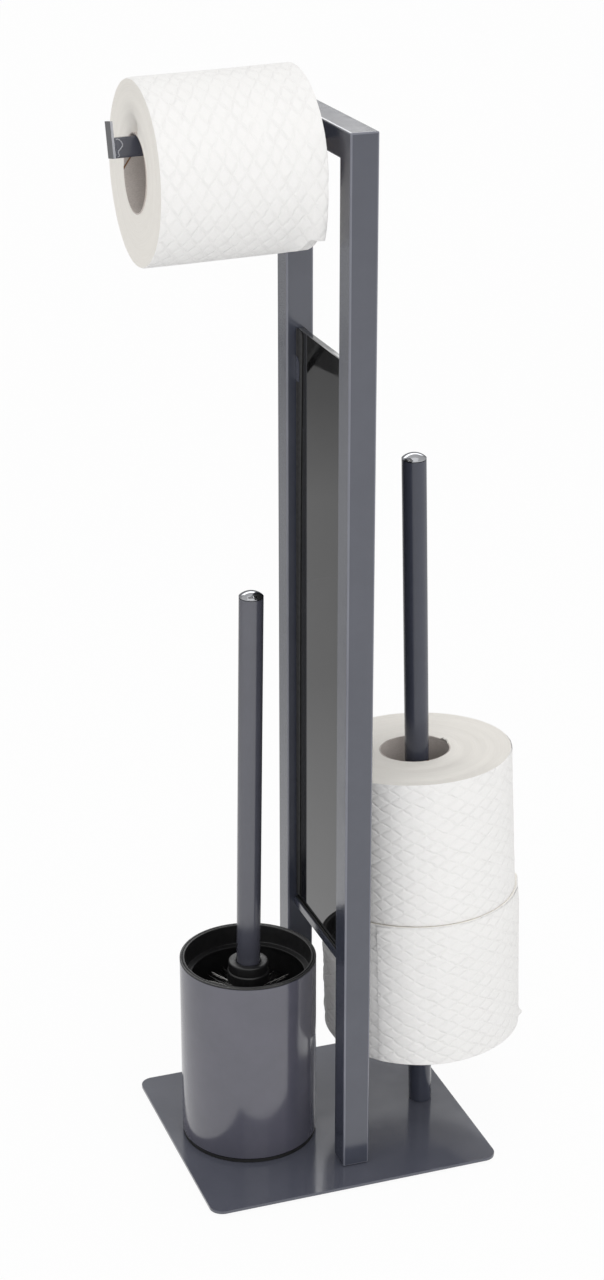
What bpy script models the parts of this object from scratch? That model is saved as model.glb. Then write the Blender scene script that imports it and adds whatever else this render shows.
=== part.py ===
"""Toilet butler stand: a base plate with a square-tube frame, a dark glass panel in the frame,
an arm with a paper roll, a thin post with two spare rolls, and a toilet brush in a round cup.

Metres, +Z up. The origin lies on the ground under the middle of the base plate. +X runs from the
brush cup to the spare rolls, and -Y is the front.
"""

import math

import bmesh
import bpy

# Clearance between pieces that touch, and the length by which a cutter passes what it cuts
gap = 0.0003
overrun = 0.001

# Base plate and the anti-slip mat under it
plate_wide = 0.203
plate_deep = 0.175
plate_thick = 0.002
plate_corner = 0.009
mat_thick = 0.0015
mat_inset = 0.004

# Frame of square tube, with mitred corners at the top
tube_side = 0.018
tube_wall = 0.0015
tube_corner = 0.0018
frame_x = 0.0065
frame_inset = 0.022
frame_tall = 0.698

# Glass panel in its lined channel, between the uprights; heights above the plate
glass_thick = 0.004
glass_side_room = 0.0005
glass_top = 0.554
glass_edge = 0.0004
channel_low = 0.1439
channel_tall = 0.0053
channel_wall = 0.001
gasket_wall = 0.0008
gasket_lip = 0.0008

# Clips that keep the glass upright
clip_low = 0.5195
clip_tall = 0.0161
clip_reach = 0.0065
clip_thick = 0.001
clip_chamfer = 0.003

# Screws and threaded plugs
screw_across = 0.004
screw_long = 0.012
screw_end = 0.0005
countersunk_across = 0.0074
button_across = 0.0072
button_tall = 0.0022
socket_across = 0.0024
socket_deep = 0.001
mat_hole_across = 0.009
foot_plug_long = 0.015
arm_plug_long = 0.012

# Roll arm and its end plate
arm_side = 0.012
arm_wall = 0.0012
arm_corner = 0.0013
arm_droop_degrees = 1.7
arm_turn_degrees = 10.0
end_plate_tall = 0.0215
end_plate_thick = 0.0015

# Paper rolls
roll_long = 0.101
core_wall = 0.0008
paper_edge = 0.0015
top_roll_across = 0.111
top_core_across = 0.046
top_roll_from_frame = 0.011
top_roll_room = 0.0118
spare_core_across = 0.0462
lower_roll_across = 0.134
upper_roll_across = 0.1306
lower_roll_back = 0.003
upper_roll_back = 0.008

# Spare roll post, its support disc and the domed cap that the brush handle shares
post_across = 0.016
post_wall = 0.0012
post_long = 0.474
post_lean_degrees = 1.54
post_room = 0.0015
disc_across = 0.080
disc_thick = 0.002
disc_top = 0.064
hub_across = 0.024
hub_tall = 0.008
cap_band = 0.0008
cap_dome = 0.0032
cap_spigot = 0.008

# Brush cup
cup_across = 0.092
cup_tall = 0.1343
cup_room = 0.0022
cup_back = 0.0044
shell_wall = 0.0008
shell_edge = 0.0006
foot_ring_tall = 0.0023
foot_ring_inset = 0.0003
foot_ring_wide = 0.010
liner_wall = 0.0012
liner_mouth_across = 0.0854
liner_body_across = 0.0826
liner_floor_across = 0.077
ledge_deep = 0.0137
lip_tall = 0.0009
lip_edge = 0.0004
lip_groove = 0.0006

# Brush
brush_lean_degrees = 0.87
brush_shift_x = -0.0017
brush_shift_y = -0.0004
handle_across = 0.016
handle_wall = 0.0012
handle_top = 0.387
collar_across = 0.027
collar_base_across = 0.0285
collar_tall = 0.007
collar_base_tall = 0.0075
collar_seat = 0.005
collar_edge = 0.0008
stud_across = 0.006
stud_plug_long = 0.012
stud_thread_long = 0.024
spindle_across = 0.012
head_core_across = 0.020
core_foot_tall = 0.003
core_shoulder_tall = 0.006

# Bristles: tiers of the head, rows in a tier and strands in a row, each strand with four sides
tier_tall = 0.025
head_across = 0.072
strand_root = 0.0013
strand_tip = 0.0009
tier_count = 4
row_count = 4
strand_count = 19
head_round_share = 0.14
head_fan_share = 0.06

# Facets of round pieces
wide_steps = 48
mid_steps = 32
small_steps = 24
screw_steps = 16
corner_steps = 4
plate_corner_steps = 10
dome_steps = 4
sharp_degrees = 35

# Places that follow from the sizes
plate_top = mat_thick + gap + plate_thick
frame_deep = plate_deep - 2 * frame_inset
upright_y = (frame_deep - tube_side) / 2
frame_top = plate_top + frame_tall
rail_z = frame_top - tube_side / 2
mitre_drop = gap / math.sqrt(2)
inner_span = frame_deep / 2 - tube_side
arm_reach = top_roll_from_frame + roll_long + top_roll_room + end_plate_thick
arm_droop = math.radians(arm_droop_degrees)
arm_turn = math.radians(arm_turn_degrees)
post_lean = math.radians(post_lean_degrees)
brush_lean = math.radians(brush_lean_degrees)
gasket_half = glass_thick / 2 + gap + gasket_wall
channel_half = gasket_half + gap + channel_wall
channel_right = frame_x + channel_half
glass_right = frame_x + glass_thick / 2
post_x = channel_right + lower_roll_across / 2 + post_room
cup_x = frame_x - channel_half - cup_room - cup_across / 2


def material(name, shown, roughness, metallic):
    """A Principled material from the colour that the surface shows, in 0 to 255."""
    made = bpy.data.materials.new(name)
    made.use_nodes = True
    shader = made.node_tree.nodes["Principled BSDF"]
    linear = [(level / 255) ** 2.2 for level in shown]
    shader.inputs["Base Color"].default_value = (*linear, 1)
    shader.inputs["Roughness"].default_value = roughness
    shader.inputs["Metallic"].default_value = metallic
    made.diffuse_color = (*linear, 1)
    return made


def mesh_from(name, points, faces):
    """A mesh of these points and faces, with its faces turned outwards."""
    mesh = bpy.data.meshes.new(name)
    mesh.from_pydata(points, [], faces)
    shape = bmesh.new()
    shape.from_mesh(mesh)
    bmesh.ops.recalc_face_normals(shape, faces=shape.faces)
    shape.to_mesh(mesh)
    shape.free()
    mesh.shade_smooth()
    mesh.set_sharp_from_angle(angle=math.radians(sharp_degrees))
    return mesh


def lathe(name, profile, steps):
    """Turns a closed outline of (radius, height) points about Z. A radius of 0 is a pole."""
    points = []
    rings = []
    for radius, height in profile:
        if radius == 0:
            rings.append([len(points)] * steps)
            points.append((0, 0, height))
            continue
        rings.append(list(range(len(points), len(points) + steps)))
        for step in range(steps):
            angle = 2 * math.pi * step / steps
            points.append((radius * math.cos(angle), radius * math.sin(angle), height))
    faces = []
    for ring, following in zip(rings, rings[1:] + rings[:1]):
        for step in range(steps):
            beside = (step + 1) % steps
            corners = [ring[step], ring[beside], following[beside], following[step]]
            face = list(dict.fromkeys(corners))
            if len(face) > 2:
                faces.append(face)
    return mesh_from(name, points, faces)


def skin(name, loops, joined=False):
    """Joins loops of as many points each. Joined loops make a tube wall, others get end faces."""
    count = len(loops[0])
    points = [point for loop in loops for point in loop]
    faces = []
    pairs = len(loops) if joined else len(loops) - 1
    for index in range(pairs):
        start = index * count
        after = (index + 1) % len(loops) * count
        for step in range(count):
            beside = (step + 1) % count
            faces.append([start + step, start + beside, after + beside, after + step])
    if not joined:
        faces.append(list(range(count)))
        faces.append(list(range(len(points) - count, len(points))))
    return mesh_from(name, points, faces)


def rounded(wide, tall, corner, steps=corner_steps):
    """The outline of a rectangle with round corners, as (u, v) points about its middle."""
    outline = []
    for turn, (side_u, side_v) in enumerate(((1, 1), (-1, 1), (-1, -1), (1, -1))):
        for step in range(steps + 1):
            angle = math.pi / 2 * (turn + step / steps)
            u = side_u * (wide / 2 - corner) + corner * math.cos(angle)
            v = side_v * (tall / 2 - corner) + corner * math.sin(angle)
            outline.append((u, v))
    return outline


def dome(radius, low, rise):
    """The points of a shallow dome, from its rim to its top."""
    ball = (radius**2 + rise**2) / (2 * rise)
    sweep = math.asin(radius / ball)
    points = []
    for step in range(1, dome_steps):
        angle = sweep * (1 - step / dome_steps)
        points.append((ball * math.sin(angle), low + rise - ball * (1 - math.cos(angle))))
    return points + [(0, low + rise)]


def tube_profile(outside, inside, low, high):
    """The outline of a plain round tube, from two diameters."""
    return [(outside / 2, low), (outside / 2, high), (inside / 2, high), (inside / 2, low)]


def place(name, at, turn=0.0, parent=None):
    """An empty that stands on a joint's axis or leans with what it carries."""
    empty = bpy.data.objects.new(name, None)
    bpy.context.scene.collection.objects.link(empty)
    empty.location = at
    empty.rotation_euler = (0, turn, 0)
    empty.parent = parent
    return empty


def piece(name, mesh, look, parent=None, at=(0, 0, 0), turn=0.0):
    """One sub-part: a mesh with its material, placed under its parent and turned about Y."""
    made = bpy.data.objects.new(name, mesh)
    bpy.context.scene.collection.objects.link(made)
    made.location = at
    made.rotation_euler = (0, turn, 0)
    made.parent = parent
    if not mesh.materials:
        mesh.materials.append(look)
    return made


def cut(target, name, mesh, parent=None, at=(0, 0, 0), turn=0.0):
    """Cuts a mesh out of the target with an exact Boolean."""
    cutter = bpy.data.objects.new(name, mesh)
    bpy.context.scene.collection.objects.link(cutter)
    cutter.location = at
    cutter.rotation_euler = (0, turn, 0)
    cutter.parent = parent
    cutter.hide_render = True
    cutter.display_type = "WIRE"
    modifier = target.modifiers.new(name, "BOOLEAN")
    modifier.operation = "DIFFERENCE"
    modifier.solver = "EXACT"
    modifier.object = cutter


def in_post_frame(x, z):
    """A point of the world, as (across, along) of the leaning spare post."""
    right = x - post_x
    up = z - plate_top
    across = right * math.cos(post_lean) + up * math.sin(post_lean)
    along = up * math.cos(post_lean) - right * math.sin(post_lean)
    return across, along


def screw_places():
    """Where the screws come up through the base plate."""
    return {
        "front_foot": (frame_x, -upright_y),
        "rear_foot": (frame_x, upright_y),
        "spare_post": (post_x, 0),
    }


def countersunk_screw():
    """A countersunk screw, head down, with its head's face at height 0."""
    neck = (countersunk_across - screw_across) / 2
    profile = [
        (0, socket_deep),
        (socket_across / 2, socket_deep),
        (socket_across / 2, 0),
        (countersunk_across / 2, 0),
        (screw_across / 2, neck),
        (screw_across / 2, screw_long - screw_end),
        (screw_across / 2 - screw_end, screw_long),
        (0, screw_long),
    ]
    return lathe("countersunk_screw", profile, screw_steps)


def add_plug(name, side, corner, long, looks, parent=None, at=(0, 0, 0), turn=0.0):
    """A square plug that stands on its place, with a bore for a screw through it."""
    loops = [[(u, v, z) for u, v in rounded(side, side, corner)] for z in (0, long)]
    plug = piece(name, skin(name, loops), looks["steel"], parent, at, turn)
    drill = screw_across / 2 + gap
    bore = [(0, -overrun), (drill, -overrun), (drill, long + overrun), (0, long + overrun)]
    cut(plug, name + "_bore", lathe(name + "_bore", bore, screw_steps), parent, at, turn)


def make_base(looks):
    """The steel base plate and the mat under it, with their screw holes."""
    outline = rounded(plate_wide, plate_deep, plate_corner, plate_corner_steps)
    plate_low = plate_top - plate_thick
    levels = (plate_low, plate_top)
    loops = [[(x, y, z) for x, y in outline] for z in levels]
    plate = piece("base_plate", skin("base_plate", loops), looks["paint"])
    mat_wide = plate_wide - 2 * mat_inset
    mat_deep = plate_deep - 2 * mat_inset
    outline = rounded(mat_wide, mat_deep, plate_corner - mat_inset, plate_corner_steps)
    loops = [[(x, y, z) for x, y in outline] for z in (0, mat_thick)]
    mat = piece("base_mat", skin("base_mat", loops), looks["foam"])
    sink = countersunk_across / 2 + gap
    drill = screw_across / 2 + gap
    hole = [
        (0, -overrun),
        (sink, -overrun),
        (sink, 0),
        (drill, sink - drill),
        (drill, plate_thick + overrun),
        (0, plate_thick + overrun),
    ]
    through = [
        (0, -overrun),
        (mat_hole_across / 2, -overrun),
        (mat_hole_across / 2, mat_thick + overrun),
        (0, mat_thick + overrun),
    ]
    for name, (x, y) in screw_places().items():
        cut(plate, name + "_hole", lathe("hole", hole, screw_steps), at=(x, y, plate_low))
        cut(mat, name + "_way", lathe("way", through, screw_steps), at=(x, y, 0))


def make_frame(looks):
    """Two uprights and the top rail of the same square tube, mitred where they meet."""
    outer = rounded(tube_side, tube_side, tube_corner)
    bore = tube_side - 2 * tube_wall
    inner = rounded(bore, bore, tube_corner - tube_wall)
    foot = plate_top + gap

    def upright(side):
        """The tube's loops, with its top cut at 45 degrees up to the outer face."""

        def top(v):
            return frame_top - mitre_drop - (tube_side / 2 - side * v)

        x, y = frame_x, side * upright_y
        low_outer = [(x + u, y + v, foot) for u, v in outer]
        high_outer = [(x + u, y + v, top(v)) for u, v in outer]
        high_inner = [(x + u, y + v, top(v)) for u, v in inner]
        low_inner = [(x + u, y + v, foot) for u, v in inner]
        return [low_outer, high_outer, high_inner, low_inner]

    for name, side in (("front_upright", -1), ("rear_upright", 1)):
        piece(name, skin(name, upright(side), joined=True), looks["paint"])

    def end(v):
        return frame_deep / 2 - mitre_drop - (tube_side / 2 - v)

    loops = [
        [(frame_x + u, -end(v), rail_z + v) for u, v in outer],
        [(frame_x + u, end(v), rail_z + v) for u, v in outer],
        [(frame_x + u, end(v), rail_z + v) for u, v in inner],
        [(frame_x + u, -end(v), rail_z + v) for u, v in inner],
    ]
    rail = piece("top_rail", skin("top_rail", loops, joined=True), looks["paint"])

    for side_name, (x, y) in screw_places().items():
        if side_name == "spare_post":
            continue
        name = side_name + "_plug"
        at = (x, y, foot)
        add_plug(name, bore - 2 * gap, tube_corner - tube_wall, foot_plug_long, looks, at=at)
        low = (x, y, plate_top - plate_thick)
        piece(side_name + "_screw", countersunk_screw(), looks["steel"], at=low)
    return rail


def make_glass(looks):
    """The glass panel, the channel that carries it, the channel's lining and four clips."""
    half = inner_span - gap
    low = plate_top + channel_low

    def trough(name, outside, wall, bottom, top, look):
        """A U profile about the frame's plane, between the uprights."""
        inside = outside - wall
        outline = [
            (-outside, bottom),
            (outside, bottom),
            (outside, top),
            (inside, top),
            (inside, bottom + wall),
            (-inside, bottom + wall),
            (-inside, top),
            (-outside, top),
        ]
        loops = [[(frame_x + u, y, z) for u, z in outline] for y in (-half, half)]
        piece(name, skin(name, loops), looks[look])

    top = low + channel_tall
    lining_low = low + channel_wall + gap
    trough("glass_channel", channel_half, channel_wall, low, top, "paint")
    trough("glass_gasket", gasket_half, gasket_wall, lining_low, top + gasket_lip, "rubber")

    glass_low = lining_low + gasket_wall + gap
    glass_half = inner_span - glass_side_room
    outline = [
        (-glass_half, glass_low),
        (glass_half, glass_low),
        (glass_half, plate_top + glass_top),
        (-glass_half, plate_top + glass_top),
    ]
    sides = (frame_x - glass_thick / 2, glass_right)
    loops = [[(x, y, z) for y, z in outline] for x in sides]
    panel = piece("glass_panel", skin("glass_panel", loops), looks["glass"])
    bevel = panel.modifiers.new("polished edge", "BEVEL")
    bevel.width = glass_edge
    bevel.segments = 1

    clip_z = plate_top + clip_low
    shape = [
        (0, 0),
        (clip_reach, 0),
        (clip_reach, clip_tall - clip_chamfer),
        (clip_reach - clip_chamfer, clip_tall),
        (0, clip_tall),
    ]
    for end_name, end in (("front", -1), ("rear", 1)):
        for side_name, side in (("left", -1), ("right", 1)):
            near = frame_x + side * (glass_thick / 2 + gap)
            loops = []
            for x in (near, near + side * clip_thick):
                root = end * (inner_span - gap)
                loops.append([(x, root - end * u, clip_z + v) for u, v in shape])
            name = f"glass_clip_{end_name}_{side_name}"
            piece(name, skin(name, loops), looks["paint"])


def make_arm(looks, rail):
    """The arm on the frame's left face, its end plate, and the screw that holds it to the rail.

    The arm droops a little and is turned a little about its own length.
    """
    arm = place("arm_frame", (frame_x - tube_side / 2, 0, rail_z), -arm_droop)
    arm.rotation_euler.x = -arm_turn
    corner_reach = arm_side / 2 * (math.cos(arm_turn) + math.sin(arm_turn))
    root = gap + corner_reach * math.tan(arm_droop)
    end = arm_reach - end_plate_thick - gap
    outer = rounded(arm_side, arm_side, arm_corner)
    bore = arm_side - 2 * arm_wall
    inner = rounded(bore, bore, arm_corner - arm_wall)
    loops = [
        [(-root, u, v) for u, v in outer],
        [(-end, u, v) for u, v in outer],
        [(-end, u, v) for u, v in inner],
        [(-root, u, v) for u, v in inner],
    ]
    piece("roll_arm", skin("roll_arm", loops, joined=True), looks["paint"], arm)

    low = -arm_side / 2
    outline = [
        (-arm_side / 2, low),
        (arm_side / 2, low),
        (arm_side / 2, low + end_plate_tall),
        (-arm_side / 2, low + end_plate_tall),
    ]
    sides = (-arm_reach, end_plate_thick - arm_reach)
    loops = [[(x, y, z) for y, z in outline] for x in sides]
    piece("arm_end_plate", skin("arm_end_plate", loops), looks["paint"], arm)

    at = (-root, 0, 0)
    out = -math.pi / 2
    corner = arm_corner - arm_wall
    add_plug("arm_root_plug", bore - 2 * gap, corner, arm_plug_long, looks, arm, at, out)

    shank = tube_side + gap + arm_plug_long
    radius = screw_across / 2
    profile = [
        (0, -shank),
        (radius - screw_end, -shank),
        (radius, screw_end - shank),
        (radius, 0),
        (button_across / 2, 0),
        (button_across / 2, button_tall / 2),
        (button_across / 2 - button_tall / 2, button_tall),
        (socket_across / 2, button_tall),
        (socket_across / 2, button_tall - socket_deep),
        (0, button_tall - socket_deep),
    ]
    along_x = math.pi / 2
    screw = lathe("arm_screw", profile, screw_steps)
    piece("arm_screw", screw, looks["steel"], arm, (tube_side + gap, 0, 0), along_x)
    drill = radius + gap
    way = [(0, -overrun), (drill, -overrun)]
    way += [(drill, tube_side + overrun), (0, tube_side + overrun)]
    cut(rail, "arm_screw_way", lathe("arm_screw_way", way, screw_steps), arm, turn=along_x)
    return arm


def roll_meshes(name, across, core_across):
    """A paper roll that stands on height 0: its card core and the paper wound on it."""
    core = tube_profile(core_across + 2 * core_wall, core_across, 0, roll_long)
    inside = core_across / 2 + core_wall + gap
    paper = [
        (inside, 0),
        (across / 2 - paper_edge, 0),
        (across / 2, paper_edge),
        (across / 2, roll_long - paper_edge),
        (across / 2 - paper_edge, roll_long),
        (inside, roll_long),
    ]
    core_mesh = lathe(name + "_core", core, mid_steps)
    return core_mesh, lathe(name + "_paper", paper, wide_steps)


def add_roll(name, across, core_across, parent, at, turn, looks):
    """A roll under its own empty, which stands at the middle of its lower end."""
    stand = place(name + "_frame", at, turn, parent)
    core, paper = roll_meshes(name, across, core_across)
    piece(name + "_core", core, looks["card"], stand)
    piece(name + "_paper", paper, looks["paper"], stand)


def make_top_roll(looks, arm):
    """The roll in use, which hangs with its core on the arm's two upper edges."""
    reach = math.sqrt((top_core_across / 2 - gap) ** 2 - (arm_side / 2) ** 2)
    at = (-top_roll_from_frame - roll_long, 0, arm_side / 2 - reach)
    add_roll("top_roll", top_roll_across, top_core_across, arm, at, math.pi / 2, looks)


def cap_mesh(across, wall):
    """A domed cap whose spigot fits a tube. Its height 0 is the end of the tube."""
    spigot = across / 2 - wall - gap
    profile = [(0, -cap_spigot), (spigot, -cap_spigot), (spigot, gap), (across / 2, gap)]
    profile += [(across / 2, gap + cap_band)]
    profile += dome(across / 2, gap + cap_band, cap_dome)
    return lathe("domed_cap", profile, small_steps)


def make_spare_post(looks):
    """The leaning post, its cap, plug and screw, and the disc that carries the spare rolls."""
    post = place("spare_post_frame", (post_x, 0, plate_top), -post_lean)
    foot = gap + post_across / 2 * math.sin(post_lean)
    bore = post_across - 2 * post_wall
    tube = tube_profile(post_across, bore, foot, post_long)
    piece("spare_post", lathe("spare_post", tube, small_steps), looks["paint"], post)
    cap = cap_mesh(post_across, post_wall)
    piece("spare_post_cap", cap, looks["chrome"], post, (0, 0, post_long))
    plug = tube_profile(
        bore - 2 * gap, screw_across + 2 * gap, foot, foot + foot_plug_long
    )
    plug_mesh = lathe("spare_post_plug", plug, screw_steps)
    piece("spare_post_plug", plug_mesh, looks["steel"], post)
    head = (0, 0, -plate_thick)
    piece("spare_post_screw", countersunk_screw(), looks["steel"], post, head)
    seat = post_across / 2 + gap
    low = disc_top - disc_thick
    disc = [
        (seat, low - hub_tall),
        (hub_across / 2, low - hub_tall),
        (hub_across / 2, low),
        (disc_across / 2, low),
        (disc_across / 2, disc_top),
        (seat, disc_top),
    ]
    disc_mesh = lathe("roll_support_disc", disc, mid_steps)
    piece("roll_support_disc", disc_mesh, looks["paint"], post)
    return post


def make_spare_rolls(looks, post):
    """Two spare rolls round the post: the lower beside the channel, the upper beside the glass."""
    edge = in_post_frame(channel_right, plate_top + channel_low + channel_tall)[0]
    low = disc_top + gap
    at = (edge + gap + lower_roll_across / 2, lower_roll_back, low)
    add_roll("lower_roll", lower_roll_across, spare_core_across, post, at, 0, looks)
    low += roll_long + gap
    lean_in = (low + roll_long) * math.tan(post_lean)
    face = (glass_right - post_x) / math.cos(post_lean) + lean_in
    at = (face + gap + upper_roll_across / 2, upper_roll_back, low)
    add_roll("upper_roll", upper_roll_across, spare_core_across, post, at, 0, looks)


def make_cup(looks):
    """The steel cup on its foot ring, with the plastic liner hung in it. Returns its floor."""
    cup = place("cup_frame", (cup_x, cup_back, plate_top))
    radius = cup_across / 2
    foot = radius - foot_ring_inset
    ring = tube_profile(2 * foot, 2 * (foot - foot_ring_wide), gap, gap + foot_ring_tall)
    piece("cup_foot_ring", lathe("cup_foot_ring", ring, wide_steps), looks["black"], cup)

    low = gap + foot_ring_tall + gap
    lip_low = cup_tall - lip_tall
    shell = [
        (0, low),
        (radius - shell_edge, low),
        (radius, low + shell_edge),
        (radius, lip_low - gap),
        (radius - shell_wall, lip_low - gap),
        (radius - shell_wall, low + shell_wall),
        (0, low + shell_wall),
    ]
    piece("cup_shell", lathe("cup_shell", shell, wide_steps), looks["paint"], cup)

    liner_low = low + shell_wall + gap
    floor = liner_low + liner_wall
    ledge = cup_tall - ledge_deep
    mouth = liner_mouth_across / 2
    body = liner_body_across / 2
    base = liner_floor_across / 2
    middle = (radius + mouth) / 2
    liner = [
        (0, liner_low),
        (base + liner_wall, liner_low),
        (body + liner_wall, ledge - liner_wall),
        (mouth + liner_wall, ledge),
        (mouth + liner_wall, lip_low),
        (radius, lip_low),
        (radius, cup_tall - lip_edge),
        (radius - lip_edge, cup_tall),
        (middle + lip_groove, cup_tall),
        (middle, cup_tall - lip_groove),
        (middle - lip_groove, cup_tall),
        (mouth + lip_edge, cup_tall),
        (mouth, cup_tall - lip_edge),
        (mouth, ledge),
        (body, ledge),
        (base, floor),
        (0, floor),
    ]
    piece("cup_liner", lathe("cup_liner", liner, wide_steps), looks["black"], cup)
    return cup, floor


def bristle_tier(name, low, tiers_from_middle):
    """One slice of the brush head: a ring of backing with rows of radial strands grown from it.

    Each row is turned by half a strand's spacing against the row below it, and the strands fan
    out a little towards both ends of the head.
    """
    backing = head_core_across / 2
    inside = spindle_across / 2 + gap
    row_tall = tier_tall / row_count
    spacing = 2 * math.pi / strand_count
    points = []
    faces = []

    def add(radius, angle, height):
        points.append((radius * math.cos(angle), radius * math.sin(angle), height))
        return len(points) - 1

    def ring(radius, row):
        height = low + row * row_tall
        shift = row / 2
        return [add(radius, (i + shift) * spacing, height) for i in range(strand_count)]

    def square(radius, angle, height, side):
        """The four corners of a strand's section, in the order of a cell's corners."""
        half = math.asin(side / 2 / radius)
        turns = ((-half, -1), (half, -1), (half, 1), (-half, 1))
        return [add(radius, angle + turn, height + up * side / 2) for turn, up in turns]

    rings = [ring(backing, row) for row in range(row_count + 1)]
    for row in range(row_count):
        middle = (row + 0.5) / row_count
        share = (tiers_from_middle - 0.5 + middle) / (tier_count / 2)
        reach = head_across / 2 * (1 - head_round_share * share**2)
        height = low + middle * tier_tall
        tip_height = height + head_fan_share * share * reach
        for i in range(strand_count):
            after = (i + 1) % strand_count
            cell = [rings[row][i], rings[row][after]]
            cell += [rings[row + 1][after], rings[row + 1][i]]
            angle = (i + 0.5 + (row + 0.5) / 2) * spacing
            root = square(backing, angle, height, strand_root)
            tip = square(reach, angle, tip_height, strand_tip)
            for corner in range(4):
                near = (corner + 1) % 4
                faces.append([cell[corner], cell[near], root[near], root[corner]])
                faces.append([root[corner], root[near], tip[near], tip[corner]])
            faces.append(tip)

    inner_low = ring(inside, 0)
    inner_high = ring(inside, row_count)
    turned = row_count // 2
    for i in range(strand_count):
        after = (i + 1) % strand_count
        over = (i - turned) % strand_count
        over_after = (after - turned) % strand_count
        faces.append([rings[0][i], rings[0][after], inner_low[after], inner_low[i]])
        faces.append([rings[-1][i], rings[-1][after], inner_high[after], inner_high[i]])
        faces.append([inner_low[i], inner_low[after], inner_high[over_after], inner_high[over]])
    return mesh_from(name, points, faces)


def make_brush(looks, cup, floor):
    """The brush, which stands in the liner and leans on its rim's side."""
    brush = place("brush_frame", (brush_shift_x, brush_shift_y, floor), brush_lean, cup)
    core_radius = head_core_across / 2
    spindle = spindle_across / 2
    foot = gap + core_radius * math.sin(brush_lean)
    tiers_low = foot + core_foot_tall + gap
    shoulder = tiers_low + tier_count * (tier_tall + gap)
    collar_low = shoulder + core_shoulder_tall + gap
    thread_way = stud_across / 2 + gap
    seat = collar_low + collar_base_tall + collar_tall - collar_seat
    thread_low = seat + gap - stud_thread_long
    core = [
        (0, foot),
        (core_radius - collar_edge, foot),
        (core_radius, foot + collar_edge),
        (core_radius, foot + core_foot_tall),
        (spindle, foot + core_foot_tall),
        (spindle, shoulder),
        (core_radius, shoulder),
        (core_radius, shoulder + core_shoulder_tall),
        (thread_way, shoulder + core_shoulder_tall),
        (thread_way, thread_low - gap),
        (0, thread_low - gap),
    ]
    piece("brush_core", lathe("brush_core", core, small_steps), looks["black"], brush)

    base = collar_base_across / 2
    ring = collar_across / 2
    socket = handle_across / 2 + gap
    step = collar_low + collar_base_tall
    top = step + collar_tall
    collar = [
        (thread_way, collar_low),
        (base, collar_low),
        (base, step - collar_edge),
        (base - collar_edge / 2, step),
        (ring, step),
        (ring, top - collar_edge),
        (ring - collar_edge, top),
        (socket, top),
        (socket, seat),
        (thread_way, seat),
    ]
    piece("brush_collar", lathe("brush_collar", collar, mid_steps), looks["black"], brush)

    bore = handle_across - 2 * handle_wall
    handle = tube_profile(handle_across, bore, seat + gap, handle_top)
    piece("brush_handle", lathe("brush_handle", handle, small_steps), looks["paint"], brush)
    cap = cap_mesh(handle_across, handle_wall)
    piece("brush_handle_cap", cap, looks["chrome"], brush, (0, 0, handle_top))
    plug = bore / 2 - gap
    stud = [
        (0, thread_low),
        (stud_across / 2, thread_low),
        (stud_across / 2, seat + gap),
        (plug, seat + gap),
        (plug, seat + gap + stud_plug_long),
        (0, seat + gap + stud_plug_long),
    ]
    stud_mesh = lathe("brush_handle_stud", stud, screw_steps)
    piece("brush_handle_stud", stud_mesh, looks["steel"], brush)

    for tier in range(tier_count):
        name = f"bristles_{tier + 1}"
        low = tiers_low + tier * (tier_tall + gap)
        from_middle = tier + 0.5 - tier_count / 2
        piece(name, bristle_tier(name, low, from_middle), looks["bristle"], brush)


def main():
    """Clears the scene and makes every sub-part."""
    for old in list(bpy.data.objects):
        bpy.data.objects.remove(old, do_unlink=True)
    looks = {
        "paint": material("anthracite paint", (92, 95, 103), 0.38, 0.0),
        "chrome": material("polished chrome", (215, 215, 215), 0.08, 1.0),
        "steel": material("zinc plated steel", (165, 165, 168), 0.35, 1.0),
        "glass": material("dark mirror glass", (22, 22, 24), 0.05, 0.0),
        "rubber": material("black rubber", (24, 24, 25), 0.7, 0.0),
        "black": material("black plastic", (28, 28, 29), 0.4, 0.0),
        "bristle": material("black bristles", (30, 30, 31), 0.6, 0.0),
        "foam": material("dark foam", (38, 38, 40), 0.9, 0.0),
        "card": material("grey card", (150, 142, 138), 0.9, 0.0),
        "paper": material("white tissue", (240, 239, 236), 0.95, 0.0),
    }
    make_base(looks)
    rail = make_frame(looks)
    make_glass(looks)
    arm = make_arm(looks, rail)
    make_top_roll(looks, arm)
    post = make_spare_post(looks)
    make_spare_rolls(looks, post)
    cup, floor = make_cup(looks)
    make_brush(looks, cup, floor)


main()
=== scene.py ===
import math
import random

import bmesh
import bpy
import numpy as np
from mathutils import Matrix, Vector


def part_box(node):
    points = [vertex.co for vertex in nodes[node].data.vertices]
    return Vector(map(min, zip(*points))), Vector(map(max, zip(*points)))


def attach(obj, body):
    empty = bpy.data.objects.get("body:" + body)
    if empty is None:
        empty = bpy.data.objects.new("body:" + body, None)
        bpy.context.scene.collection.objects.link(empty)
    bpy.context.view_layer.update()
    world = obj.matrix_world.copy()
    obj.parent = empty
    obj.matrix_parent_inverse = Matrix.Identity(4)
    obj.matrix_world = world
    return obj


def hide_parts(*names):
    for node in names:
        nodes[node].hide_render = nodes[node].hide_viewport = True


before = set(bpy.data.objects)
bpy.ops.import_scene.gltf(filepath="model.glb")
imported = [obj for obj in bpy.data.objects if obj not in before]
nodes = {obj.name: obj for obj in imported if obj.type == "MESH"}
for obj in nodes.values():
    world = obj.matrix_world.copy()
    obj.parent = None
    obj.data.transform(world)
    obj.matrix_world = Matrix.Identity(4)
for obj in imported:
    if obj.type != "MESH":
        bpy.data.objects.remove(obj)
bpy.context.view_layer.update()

# Places and sizes that the solids have too, in metres
PLATE_TOP = 0.0038
FRAME_X = 0.0065
TUBE = 0.018
TUBE_ROUND = 0.0011
GAP = 0.0003
ROLL_LONG = 0.101
CORE_WALL = 0.0008
POST_ACROSS = 0.016
POST_WALL = 0.0012
POST_LEAN = 0.026875
ARM_SIDE = 0.012
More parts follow.
